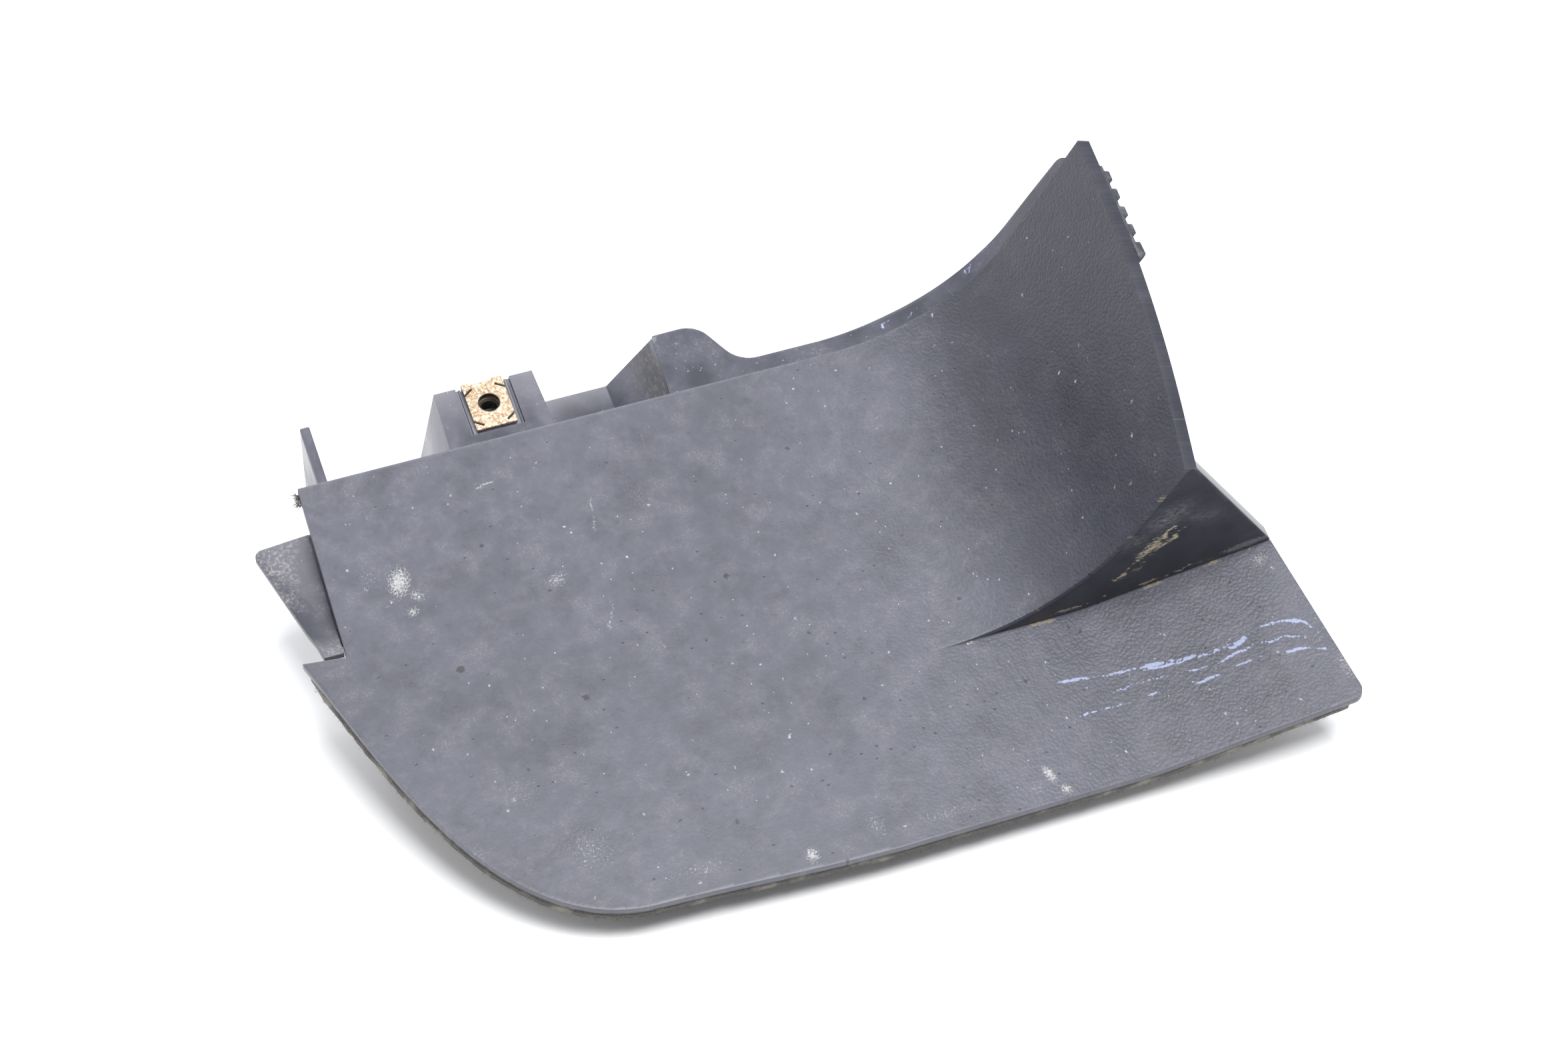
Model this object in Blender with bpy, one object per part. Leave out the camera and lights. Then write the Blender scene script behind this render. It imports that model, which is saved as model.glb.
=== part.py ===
"""Kick shield: the moulded trim that covers the side wall of a vehicle footwell.

One grained plastic moulding carries everything. Its show face is a flat sheet that sweeps up at
one side, with a low wing along its foot and a dart wall between the two. Behind the top edge stand
a stepped flange, a ledge, a clip tower and a locating tongue, and behind the left edge a fixing
tab. A spring nut is pushed over the tower's top plate, a felt liner covers the back of the foot,
and a toothed rubber pad lies behind the swept edge. The moulding is modelled as one node for each
wall or sheet, and neighbours keep a gap of GAP.

Sizes are millimetres in the face's own frame: the origin is the top left corner of the show face,
x runs along the top edge, y points from the foot to the top edge, and z stands out of the face.
The part lies on its back, so that frame is tilted by REST_TILT about x.
"""

from math import atan2, cos, pi, radians, sin, tan

import bmesh
import bpy
from mathutils import Matrix, Vector

MM = 0.001
GAP = 0.3

# Show face
SKIN = 3.0
FOOT_Y = -169.0
DART_Y = -111.0
EDGE_SLOPE_X = -1.6
NOTCH_Y = -61.0
POINT = (-14.5, -59.5)
FLAT_END_X = 160.0

# Sweep: the sheet bends about a line that starts at SWEEP_X and is turned by SWEEP_TURN
SWEEP_X = 171.0
SWEEP_TURN = radians(-2.6)
SWEEP_R = 60.0
SWEEP_ANGLE = radians(67.5)
SWEEP_RUN = 46.7
SWEEP_RUN_LOW = 32.4
SWEEP_CORNER_Y = -54.0
RIM = 4.3
RIM_WIDTH = 5.0

# Wing and dart wall: the wing goes on flat to WING_X and turns up there
WING_X = 206.0
WING_R = 60.0
WING_ANGLE = radians(10.5)
WING_TOP_X = 272.5
WING_CORNER = (277.7, -166.0)
WALL = 4.4

# Back structure
SHEET = 2.5
SHELF_Z = -SKIN - GAP
UNDER_SHELF = SHELF_Z - SHEET - GAP
REACH = 24.5
FLANGE_RUN = 37.5
LEDGE_Z = -24.0
RAMP_FOOT_X = 106.2
LAP = 6.0
HUMP_X = 119.7
TOWER_X = (48.2, 82.4)
TOWER_Y = 23.3
SIDE_DRAFT = radians(6.4)
FAR_DRAFT = radians(5.0)
TOWER_TAPER = 1.2

# Spring nut, and the pocket it sits in
NUT_X = 65.0
NUT_HOLE_Y = 15.4
NUT_WIDTH = 13.0
NUT_FOOT_Y = 6.5
NUT_SHEET = 0.9
POCKET_WIDTH = 16.4
POCKET_DEPTH = 1.2
PLATE_EDGE_Y = 22.8

# Side tab
TAB_Z = -4.0

# Rest pose: the liner's foot and the tower's far wall stand on the ground
LINER = 2.8
REST_TILT = radians(14.0)


def ground_z(y):
    """Height, in the face's frame, of the ground below a point at y."""
    return SHELF_Z - LINER - tan(REST_TILT) * (y - FOOT_Y)


# Frames -------------------------------------------------------------------------------------

FACE = Matrix.Identity(4)
SWEEP = Matrix.Translation((SWEEP_X * MM, 0, 0)) @ Matrix.Rotation(SWEEP_TURN, 4, "Z")
SWEEP_END = (SWEEP_R * sin(SWEEP_ANGLE), SWEEP_R * (1 - cos(SWEEP_ANGLE)))
SLOPE = (SWEEP @ Matrix.Translation((SWEEP_END[0] * MM, 0, SWEEP_END[1] * MM))
         @ Matrix.Rotation(-SWEEP_ANGLE, 4, "Y"))

# An outline in x and z, extruded towards -y, and one in y and z, extruded towards +x
IN_XZ = Matrix.Rotation(pi / 2, 4, "X")
IN_YZ = Matrix(((0, 0, 1, 0), (1, 0, 0, 0), (0, 1, 0, 0), (0, 0, 0, 1)))


# Outlines -----------------------------------------------------------------------------------

def arc(centre, radius, start, end, steps):
    """Points on an arc; angles are in radians, anticlockwise from x."""
    turn = (end - start) / steps
    return [(centre[0] + radius * cos(start + turn * i), centre[1] + radius * sin(start + turn * i))
            for i in range(steps + 1)]


def bezier(p0, p1, p2, p3, steps):
    points = []
    for i in range(steps + 1):
        t = i / steps
        weights = ((1 - t) ** 3, 3 * t * (1 - t) ** 2, 3 * t * t * (1 - t), t ** 3)
        points.append(tuple(sum(w * p[k] for w, p in zip(weights, (p0, p1, p2, p3)))
                            for k in (0, 1)))
    return points


def filleted(corners, steps=6):
    """A closed outline from (x, y, radius) corners, each rounded by its radius."""
    points = []
    for i, (x, y, radius) in enumerate(corners):
        here = Vector((x, y))
        if radius == 0:
            points.append((x, y))
            continue
        back = (Vector(corners[i - 1][:2]) - here).normalized()
        ahead = (Vector(corners[(i + 1) % len(corners)][:2]) - here).normalized()
        half = back.angle(ahead) / 2
        centre = here + (back + ahead).normalized() * (radius / sin(half))
        start = here + back * (radius / tan(half)) - centre
        end = here + ahead * (radius / tan(half)) - centre
        turn = start.angle_signed(end)
        for k in range(steps + 1):
            spoke = start.copy()
            spoke.rotate(Matrix.Rotation(-turn * k / steps, 2))
            points.append(tuple(centre + spoke))
    return points


def sheet_section(start, pieces, near, far):
    """Section of a bent sheet, flat from x = start to 0 and then made of pieces.

    A piece is a straight run's length, or a bend's (radius, angle, steps) with the radius of the
    show side, which bends upwards. near and far are the depths of the sheet's two sides.
    """
    def side(depth):
        points = [(start, -depth)]
        show, heading = Vector((0, 0)), 0.0
        for piece in pieces:
            if isinstance(piece, tuple):
                radius, angle, steps = piece
                centre = show + Vector((-sin(heading), cos(heading))) * radius
                turn = heading - pi / 2
                points += arc(centre, radius + depth, turn, turn + angle, steps)
                heading += angle
                show = centre + Vector((sin(heading), -cos(heading))) * radius
            else:
                show = show + Vector((cos(heading), sin(heading))) * piece
                below = show + Vector((sin(heading), -cos(heading))) * depth
                points.append(tuple(below))
        return points
    return side(near) + side(far)[::-1]


# Objects ------------------------------------------------------------------------------------

def new_collection(name):
    collection = bpy.data.collections.new(name)
    bpy.context.scene.collection.children.link(collection)
    return collection


def clear_scene():
    for leftover in list(bpy.data.objects):
        bpy.data.objects.remove(leftover, do_unlink=True)


def add_object(name, mesh, frame, material=None):
    """Put a mesh in the parts if it has a material, and with the cutters if it hasn't."""
    item = bpy.data.objects.new(name, mesh)
    item.parent = stand
    item.matrix_basis = frame
    if material:
        mesh.materials.clear()
        mesh.materials.append(material)
        parts.objects.link(item)
    else:
        item.hide_render = True
        item.display_type = "WIRE"
        cutters.objects.link(item)
    return item


def finish_mesh(mesh):
    """Weld a mesh's caps to its sides and turn its faces outwards."""
    work = bmesh.new()
    work.from_mesh(mesh)
    bmesh.ops.remove_doubles(work, verts=work.verts, dist=1e-6)
    bmesh.ops.recalc_face_normals(work, faces=work.faces)
    work.to_mesh(mesh)
    work.free()
    mesh.shade_smooth()
    mesh.set_sharp_from_angle(angle=radians(25))
    return mesh


def plate(name, outline, low, high, frame=FACE, material=None):
    """A flat outline in the frame's x and y, filling the frame's z from low to high."""
    curve = bpy.data.curves.new(name, "CURVE")
    curve.dimensions = "2D"
    curve.fill_mode = "BOTH"
    curve.extrude = (high - low) / 2 * MM
    spline = curve.splines.new("POLY")
    spline.points.add(len(outline) - 1)
    for point, (x, y) in zip(spline.points, outline):
        point.co = (x * MM, y * MM, 0, 1)
    spline.use_cyclic_u = True
    guide = bpy.data.objects.new(name + "_outline", curve)
    bpy.context.scene.collection.objects.link(guide)
    evaluated = guide.evaluated_get(bpy.context.evaluated_depsgraph_get())
    mesh = finish_mesh(bpy.data.meshes.new_from_object(evaluated))
    bpy.data.objects.remove(guide, do_unlink=True)
    bpy.data.curves.remove(curve)
    middle = Matrix.Translation((0, 0, (low + high) / 2 * MM))
    return add_object(name, mesh, frame @ middle, material)


def block(name, size, centre, frame=FACE, material=None):
    work = bmesh.new()
    bmesh.ops.create_cube(work, size=1)
    bmesh.ops.scale(work, vec=Vector(size) * MM, verts=work.verts)
    mesh = bpy.data.meshes.new(name)
    work.to_mesh(mesh)
    work.free()
    return add_object(name, mesh, frame @ Matrix.Translation(Vector(centre) * MM), material)


def drum(name, radius_low, radius_high, low, high, centre, frame=FACE, material=None, sides=32):
    """A round post or cone along the frame's z, from low to high."""
    work = bmesh.new()
    bmesh.ops.create_cone(work, cap_ends=True, segments=sides, radius1=radius_low * MM,
                          radius2=radius_high * MM, depth=(high - low) * MM)
    mesh = bpy.data.meshes.new(name)
    work.to_mesh(mesh)
    work.free()
    spot = Vector((centre[0], centre[1], (low + high) / 2)) * MM
    return add_object(name, mesh, frame @ Matrix.Translation(spot), material)


def drafted_box(name, x_range, y_range, z_range, x_grow, y_grow, material=None):
    """A box whose left, right and far walls lean out towards its low end.

    Its far end is narrower than its near end by TOWER_TAPER on each side.
    """
    size = [high - low for low, high in (x_range, y_range, z_range)]
    centre = [(low + high) / 2 for low, high in (x_range, y_range, z_range)]
    item = block(name, size, centre, FACE, material)
    for vertex in item.data.vertices:
        if vertex.co.z < 0:
            vertex.co.x += (x_grow if vertex.co.x > 0 else -x_grow) * MM
            if vertex.co.y > 0:
                vertex.co.y += y_grow * MM
        if vertex.co.y > 0:
            vertex.co.x += (-TOWER_TAPER if vertex.co.x > 0 else TOWER_TAPER) * MM
    return item


def apply(item, other, operation):
    boolean = item.modifiers.new(operation.lower() + "_" + other.name, "BOOLEAN")
    boolean.operation = operation
    boolean.object = other
    boolean.solver = "EXACT"


def cut(item, *others):
    for other in others:
        apply(item, other, "DIFFERENCE")


def join(item, *others):
    for other in others:
        apply(item, other, "UNION")


def keep(item, *others):
    for other in others:
        apply(item, other, "INTERSECT")


def paint(name, colour, roughness, metallic=0.0):
    material = bpy.data.materials.new(name)
    material.use_nodes = True
    shader = material.node_tree.nodes["Principled BSDF"]
    shader.inputs["Base Color"].default_value = (*colour, 1)
    shader.inputs["Roughness"].default_value = roughness
    shader.inputs["Metallic"].default_value = metallic
    material.diffuse_color = (*colour, 1)
    return material


# Show face ----------------------------------------------------------------------------------

def foot_curve():
    """The lower left edge, from the notch's point round to the straight foot."""
    middle = (62.0, -165.0)
    corner = bezier(POINT, (-1.0, -98.0), (14.0, -164.5), middle, 14)
    return corner + bezier(middle, (84.0, -165.8), (104.0, -168.4), (132.0, FOOT_Y), 6)[1:]


def wing_section(start, end, near, far):
    """The wing's section from x = start, its tip cut square at end past the bend."""
    return sheet_section(start - WING_X, [(WING_R, WING_ANGLE, 3), end], near, far)


def panel_at_dart(depth, steps):
    """The swept panel's section where it meets the dart wall, from its trimmed edge down."""
    root = SWEEP_X + DART_Y * tan(-SWEEP_TURN)
    bend = arc((0, SWEEP_R), SWEEP_R + depth, -pi / 2, SWEEP_ANGLE - pi / 2, steps)
    top = (bend[-1][0] + SWEEP_RUN_LOW * cos(SWEEP_ANGLE),
           bend[-1][1] + SWEEP_RUN_LOW * sin(SWEEP_ANGLE))
    return [(root + x / cos(SWEEP_TURN), z) for x, z in [top] + bend[:1:-1]]


def make_wing():
    section = wing_section(FLAT_END_X - LAP, 70, 0, SKIN)
    wing = plate("wing_sheet", section, 90, 180, Matrix.Translation((WING_X * MM, 0, 0)) @ IN_XZ)
    back_y = DART_Y + WALL
    outline = filleted([(FLAT_END_X - LAP, DART_Y, 0), (FLAT_END_X - LAP, FOOT_Y, 0),
                        (WING_CORNER[0] - 1.5, FOOT_Y, 3.5), (WING_CORNER[0], WING_CORNER[1], 1.5),
                        (WING_TOP_X, DART_Y, 0), (WING_TOP_X - 0.4, back_y, 0),
                        (176, back_y, 0), (176, DART_Y, 0)])
    keep(wing, plate("wing_outline", outline, -20, 40))
    return wing


def make_dart_wall():
    """The upright wall that closes the dart between the swept panel and the wing."""
    rim_back = panel_at_dart(RIM, 10)[0]
    inner = panel_at_dart(SKIN / 2, 10)
    bend_end = WING_X + WING_R * tan(WING_ANGLE / 2)
    tip_z = (WING_TOP_X - bend_end) * tan(WING_ANGLE)
    foot = [(174.0, -SKIN / 2), (bend_end, -SKIN / 2), (WING_TOP_X, tip_z - SKIN / 2),
            (WING_TOP_X, tip_z + 0.2)]
    return plate("dart_wall", inner + foot + [rim_back], -DART_Y - WALL, -DART_Y, IN_XZ)


def slope_edge(inset, beyond):
    """The swept edge as an outline, in distance up the slope and y, closed out at beyond."""
    top, low = SWEEP_RUN - inset, SWEEP_RUN_LOW - inset
    return filleted([(top, 30, 0), (top, SWEEP_CORNER_Y, 80), (low, DART_Y, 0), (low - 4, -126, 0),
                     (beyond, -126, 0), (beyond, 30, 0)], 8)


def make_face(material):
    section = sheet_section(-200, [(SWEEP_R, SWEEP_ANGLE, 16), SWEEP_RUN + 4], 0, SKIN)
    face = plate("face_skin", section, -20, 185, SWEEP @ IN_XZ, material)
    bead = slope_edge(RIM_WIDTH, SWEEP_RUN + 3)
    join(face, plate("rim_bead", bead, -RIM, -SKIN / 2, SLOPE))
    outline = [(0, 0), (EDGE_SLOPE_X, NOTCH_Y)] + foot_curve() + [
        (FLAT_END_X, FOOT_Y), (FLAT_END_X, DART_Y), (260, DART_Y), (260, 0)]
    keep(face, plate("face_outline", outline, -20, 100))
    cut(face, plate("swept_edge_trim", slope_edge(0, SWEEP_RUN + 20), -15, 15, SLOPE))
    join(face, make_wing(), make_dart_wall())


# Back structure -----------------------------------------------------------------------------

def make_top_flange(material):
    """The smooth step along the top edge, with the hump at its left end."""
    pieces = [(SWEEP_R, SWEEP_ANGLE, 16), FLANGE_RUN]
    section = sheet_section(-60, pieces, -SHELF_Z, SHEET - SHELF_Z)
    flange = plate("top_flange", section, -35, 20, SWEEP @ IN_XZ, material)
    outline = filleted([(HUMP_X, -LAP, 0), (HUMP_X, 0, 0), (HUMP_X + 1.3, REACH, 0),
                        (135.5, REACH + 0.2, 9), (144.5, 7.3, 10), (171, 7.3, 0), (192, 7.9, 0),
                        (220, 7.6, 0), (232, 6.3, 0), (243, 5.2, 0), (252, 2.5, 0), (252, -LAP, 0)])
    keep(flange, plate("flange_outline", outline, -20, 100))
    under_face = [(HUMP_X - 1, 0), (HUMP_X - 1, -LAP - 1), (SWEEP_X + 1.5, -LAP - 1),
                  (SWEEP_X + 1.5, 0)]
    cut(flange, plate("flange_lap_step", under_face, SHELF_Z - GAP, 4))
    centre = (FLANGE_RUN - 7, -3)
    beyond_corner = arc(centre, 7, 0, pi / 2, 6) + [(centre[0], 12), (FLANGE_RUN + 3, 12),
                                                    (FLANGE_RUN + 3, -3)]
    cut(flange, plate("flange_corner", beyond_corner, -12, 4, SLOPE))


def ramp_x(z, depth):
    """Where the ramp, or a line at a depth behind its front, is at height z."""
    across, rise = HUMP_X - GAP - RAMP_FOOT_X, SHELF_Z - LEDGE_Z
    return RAMP_FOOT_X + (z - LEDGE_Z) * across / rise + depth / cos(atan2(across, rise))


def make_ledge(material):
    """The deep ledge beside the tower and the ramp that climbs from it to the hump."""
    low = LEDGE_Z - SHEET
    section = [(85.5, LEDGE_Z), (RAMP_FOOT_X, LEDGE_Z), (HUMP_X - GAP, SHELF_Z),
               (HUMP_X - GAP, UNDER_SHELF), (ramp_x(UNDER_SHELF, SHEET), UNDER_SHELF),
               (ramp_x(low, SHEET), low), (85.9, low)]
    plate("ledge_and_ramp", section, -REACH + 0.2, SHEET + GAP, IN_XZ, material)


def make_ledge_web(material):
    """The wall that drops from the show face's top edge to the ledge."""
    outline = [(84.0, SHELF_Z), (HUMP_X - 1.0, SHELF_Z), (106.2, LEDGE_Z + GAP),
               (86.2, LEDGE_Z + GAP)]
    plate("ledge_web", outline, GAP, GAP + SHEET, IN_XZ, material)


def make_outer_wall(material):
    """The far wall below the ledge and the hump, which stands on the ground."""
    top = REACH - 0.2
    low = ground_z(top)
    slant = tan(SIDE_DRAFT)
    start = TOWER_X[1] + (SHELF_Z - LEDGE_Z + SHEET) * slant + 0.8
    roof = LEDGE_Z - SHEET - GAP
    outline = filleted([(start, roof, 0), (ramp_x(roof, SHEET + GAP), roof, 0),
                        (ramp_x(UNDER_SHELF, SHEET + GAP), UNDER_SHELF, 0),
                        (133.0, UNDER_SHELF, 3), (136.0, low, 4),
                        (start + (LEDGE_Z - SHEET - low) * slant, low, 0)])
    plate("outer_wall", outline, -top, SHEET - top, IN_XZ, material)


def make_ribs(material):
    """Ribs that tie the outer wall to the back of the show face."""
    far = REACH - 0.2 - SHEET - GAP
    for number, (x, roof) in enumerate(((92.0, LEDGE_Z - SHEET - GAP), (104.0, LEDGE_Z - SHEET - GAP),
                                        (124.0, UNDER_SHELF), (131.0, UNDER_SHELF)), 1):
        clear = -SHEET - 2 * GAP if roof < UNDER_SHELF else -LAP - GAP
        low = ground_z(far) + 4
        outline = [(clear, SHELF_Z), (clear, roof), (far, roof), (far, low), (far - 8, low),
                   (-24, SHELF_Z - 2), (-24, SHELF_Z)]
        plate(f"back_rib_{number}", outline, x - 1, x + 1, IN_YZ, material)


def make_tower(material):
    """The hollow clip tower; a pocket in its top plate holds the spring nut."""
    far = TOWER_Y + (SHELF_Z - ground_z(TOWER_Y)) * tan(FAR_DRAFT)
    low = ground_z(far)
    height = SHELF_Z - low
    tower = drafted_box("clip_tower", TOWER_X, (-LAP, TOWER_Y), (low, SHELF_Z),
                        height * tan(SIDE_DRAFT), far - TOWER_Y, material)
    inner_x = (TOWER_X[0] + SHEET, TOWER_X[1] - SHEET)
    inner_height = height - SHEET + 1
    hollow = drafted_box("tower_hollow", inner_x, (SHEET - LAP, TOWER_Y - SHEET),
                         (low - 1, SHELF_Z - SHEET), inner_height * tan(SIDE_DRAFT),
                         inner_height * tan(FAR_DRAFT))
    pocket = block("nut_pocket", (POCKET_WIDTH, 30, 2 * POCKET_DEPTH), (NUT_X, 5.3 + 15, SHELF_Z))
    slots = [block(f"pocket_groove_{side}", (0.9, 30, 3.2), (x, 5.3 + 15, SHELF_Z))
             for side, x in (("left", NUT_X - POCKET_WIDTH / 2), ("right", NUT_X + POCKET_WIDTH / 2))]
    window = block("nut_window", (POCKET_WIDTH, 16, 12), (NUT_X, TOWER_Y + 2, SHELF_Z - SHEET - 6))
    notch = block("plate_notch", (NUT_WIDTH + 1, 10, 10), (NUT_X, PLATE_EDGE_Y + 5, SHELF_Z - 1))
    hole = drum("screw_hole", 4.6, 4.6, SHELF_Z - 6, SHELF_Z + 2, (NUT_X, NUT_HOLE_Y))
    cut(tower, hollow, pocket, *slots, window, notch, hole)


def make_tongue(material):
    """The upright tongue that locates the top left corner."""
    outline = filleted([(-16, SHELF_Z, 0), (TOWER_Y, SHELF_Z, 0.6), (TOWER_Y, -41, 3),
                        (6, -41, 6), (-16, -12, 0)])
    plate("locating_tongue", outline, 6.7, 9.8, IN_YZ, material)


def make_side_tab(material):
    """The fixing tab behind the left edge; its foot is joggled up to the notch."""
    near, joggle_z = POINT[1] + GAP, -0.4
    section = [(-12, TAB_Z), (-47.5, TAB_Z), (near, joggle_z), (near, joggle_z - SHEET),
               (-48.2, TAB_Z - SHEET), (-12, TAB_Z - SHEET)]
    tab = plate("side_tab", section, -20, LAP, IN_YZ, material)
    outline = filleted([(LAP, -13.6, 0), (-0.5, -14.2, 0), (-18.6, -15.6, 2.4), (-8.7, -53, 6),
                        (-7.8, -60, 0), (LAP, -60, 0)])
    keep(tab, plate("tab_outline", outline, -12, 4))
    under_face = [(-GAP, 0), (EDGE_SLOPE_X - GAP, NOTCH_Y), (12, NOTCH_Y), (12, 0)]
    cut(tab, plate("tab_lap_step", under_face, TAB_Z - GAP, 4))


# Fitted pieces ------------------------------------------------------------------------------

def make_spring_nut(material):
    """A pressed nut: a front leaf, two straps round the plate's edge and a threaded rear leaf."""
    front = SHELF_Z + 0.1
    back = SHELF_Z - SHEET - GAP
    edge = PLATE_EDGE_Y + GAP
    bend_r = (front - back + NUT_SHEET) / 2
    middle = (front + back - NUT_SHEET) / 2
    outer = arc((edge, middle), bend_r, pi / 2, -pi / 2, 10)
    inner = arc((edge, middle), bend_r - NUT_SHEET, -pi / 2, pi / 2, 10)
    section = [(NUT_FOOT_Y, front)] + outer + [(NUT_FOOT_Y + 3, back - NUT_SHEET),
                                               (NUT_FOOT_Y + 3, back)] + inner
    section.append((NUT_FOOT_Y, front - NUT_SHEET))
    half = NUT_WIDTH / 2
    nut = plate("spring_nut", section, NUT_X - half, NUT_X + half, IN_YZ, material)
    strap_gap = block("strap_gap", (NUT_WIDTH - 6.4, 6, 9), (NUT_X, edge + 3.4, SHELF_Z - 2))
    cut(nut, strap_gap)
    join(nut, drum("nut_barrel", 4.0, 4.2, back - 4.5, back - 0.3, (NUT_X, NUT_HOLE_Y)))
    cut(nut, drum("nut_bore", 2.6, 2.6, back - 8, back + 1.4, (NUT_X, NUT_HOLE_Y)),
        drum("nut_eye", 3.2, 3.2, back + 0.5, front + 1, (NUT_X, NUT_HOLE_Y)))
    for side in (-1, 1):
        for end, y in (("low", NUT_FOOT_Y + 2.6), ("top", TOWER_Y - 2.8)):
            turn = radians(35) * side * (1 if end == "low" else -1)
            place = (Matrix.Translation(Vector((NUT_X + side * 5.6, y, front)) * MM)
                     @ Matrix.Rotation(turn, 4, "Z"))
            cut(nut, block(f"leaf_slit_{end}_{side + 1}", (4.6, 0.8, 2.4), (0, 0, 0), place))


def make_liner(material):
    """The felt glued behind the foot of the face and the wing."""
    section = wing_section(-10, 68, -SHELF_Z, LINER - SHELF_Z)
    felt = plate("felt_liner", section, 20, 180, Matrix.Translation((WING_X * MM, 0, 0)) @ IN_XZ,
                 material)
    edge = [(x - 0.6, y) for x, y in foot_curve()[1:]]
    outline = [(11, -62), (POINT[0] + 0.6, -62)] + edge + [
        (WING_CORNER[0] - 4, FOOT_Y), (WING_CORNER[0] - 0.8, -164.5),
        (WING_TOP_X - 1, DART_Y - 2), (158, DART_Y - 2), (158, -28), (11, -28)]
    keep(felt, plate("felt_outline", outline, -20, 40))


def make_edge_pad(material):
    """The toothed rubber strip behind the top of the swept edge."""
    near, base, tip = RIM + GAP, RIM + 1.6, RIM + 3.3
    pitch, tooth, first, teeth = 6.8, 3.6, -7.4, 4
    end = first - pitch * teeth
    outline = [(end - 6, near), (end - 6, tip - 1.2), (end - 4.6, tip + 0.2), (end, tip),
               (end, base)]
    for number in range(teeth - 1, -1, -1):
        low = first - pitch * number
        outline += [(low - tooth, base), (low - tooth, tip), (low, tip), (low, base)]
    outline += [(first + 2, base), (first + 2, near)]
    along_edge = SLOPE @ Matrix(((0, 0, -1, 0), (1, 0, 0, 0), (0, -1, 0, 0), (0, 0, 0, 1)))
    plate("edge_pad", outline, -SWEEP_RUN + 0.6, -SWEEP_RUN + 6.6, along_edge, material)


def stand_on_ground():
    """Move the stand so the origin is on the ground below the middle of the part's box."""
    graph = bpy.context.evaluated_depsgraph_get()
    corners = []
    for item in parts.objects:
        shape = item.evaluated_get(graph)
        corners += [shape.matrix_world @ vertex.co for vertex in shape.data.vertices]
    low = [min(corner[k] for corner in corners) for k in range(3)]
    high = [max(corner[k] for corner in corners) for k in range(3)]
    stand.location = (-(low[0] + high[0]) / 2, -(low[1] + high[1]) / 2, -low[2])


clear_scene()
parts = new_collection("kick_shield")
cutters = new_collection("cutters")
stand = bpy.data.objects.new("rest_tilt", None)
parts.objects.link(stand)
stand.rotation_euler = (REST_TILT, 0, 0)

grained = paint("grained_plastic", (0.052, 0.056, 0.072), 0.55)
smooth = paint("smooth_plastic", (0.048, 0.052, 0.068), 0.38)
steel = paint("zinc_steel", (0.62, 0.50, 0.36), 0.6, 0.5)
felt_cloth = paint("felt", (0.10, 0.095, 0.085), 0.95)
rubber = paint("rubber", (0.03, 0.03, 0.033), 0.7)

make_face(grained)
make_top_flange(smooth)
make_ledge(smooth)
make_ledge_web(smooth)
make_outer_wall(smooth)
make_ribs(smooth)
make_tower(smooth)
make_tongue(smooth)
make_side_tab(smooth)
make_spring_nut(steel)
make_liner(felt_cloth)
make_edge_pad(rubber)
parts.objects.unlink(stand)
bpy.context.scene.collection.objects.link(stand)
stand_on_ground()
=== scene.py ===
"""Looks for the kick shield: a moulded footwell trim with a spring nut, a felt liner and an edge pad.

The show face, its dart wall, the top flange and the liner are made here as fine sheets with soft
edges, and the liner gets loose fibres. Every other piece is the CAD node's own shape with its edges
softened. Wear, dirt and some painted light and shade are painted on the sheets' vertices and broken
up by noise in the materials; the materials also paint shade into the screw's bore and onto the ramp.
Lengths are millimetres in the show face's own frame, as in the CAD model: x runs along the top
edge from its left corner, y points from the foot to the top edge, and z stands out of the face.
"""

from math import cos, hypot, pi, radians, sin, tan

import bmesh
import bpy
import numpy as np
from mathutils import Matrix, Vector, noise
from mathutils.geometry import delaunay_2d_cdt


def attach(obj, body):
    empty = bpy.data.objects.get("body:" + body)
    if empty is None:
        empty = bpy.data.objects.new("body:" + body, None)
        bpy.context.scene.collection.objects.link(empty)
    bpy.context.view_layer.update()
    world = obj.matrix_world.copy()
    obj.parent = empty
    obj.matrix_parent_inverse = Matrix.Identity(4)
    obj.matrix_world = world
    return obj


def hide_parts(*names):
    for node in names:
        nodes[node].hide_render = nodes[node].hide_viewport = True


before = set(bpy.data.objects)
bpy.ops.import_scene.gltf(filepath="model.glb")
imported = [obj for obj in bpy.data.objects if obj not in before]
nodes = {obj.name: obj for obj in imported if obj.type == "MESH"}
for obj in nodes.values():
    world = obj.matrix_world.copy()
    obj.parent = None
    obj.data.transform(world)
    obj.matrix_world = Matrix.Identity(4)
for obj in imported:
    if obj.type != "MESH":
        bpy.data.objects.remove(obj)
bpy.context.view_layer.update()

MM = 0.001
TILT = radians(14.0)
PLACE = Vector((-0.12986, 0.06326, 0.05497))
REST = Matrix.Translation(PLACE) @ Matrix.Rotation(TILT, 4, "X") @ Matrix.Scale(MM, 4)

SKIN = 3.0
FOOT_Y = -169.0
DART_Y = -111.0
NUT_X = 65.0
NUT_HOLE_Y = 15.4
POINT = (-14.5, -59.5)
SWEEP_X = 171.0
SWEEP_TURN = radians(-2.6)
SWEEP_R = 60.0
SWEEP_ANGLE = radians(67.5)
SWEEP_RUN = 46.7
SWEEP_RUN_LOW = 32.4
SWEEP_CORNER_Y = -54.0
RIM = 4.3
RIM_WIDTH = 5.0
WING_X = 206.0
WING_R = 60.0
WING_ANGLE = radians(10.5)
WING_TOP_X = 272.5
WING_CORNER = (277.7, -166.0)
WALL = 4.4
FLANGE_RUN = 37.5
FELT_LOW = 2.8
BEND_LENGTH = SWEEP_R * SWEEP_ANGLE
SLIT = 0.01

# Counts of random details, and the photograph's lens for a sensor of SENSOR_WIDTH
EDGE_FIBRES = 1500
TUFT_FIBRES = 70
SPECKS = 260
LENS = 76.5306
SENSOR_WIDTH = 36.0


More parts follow.
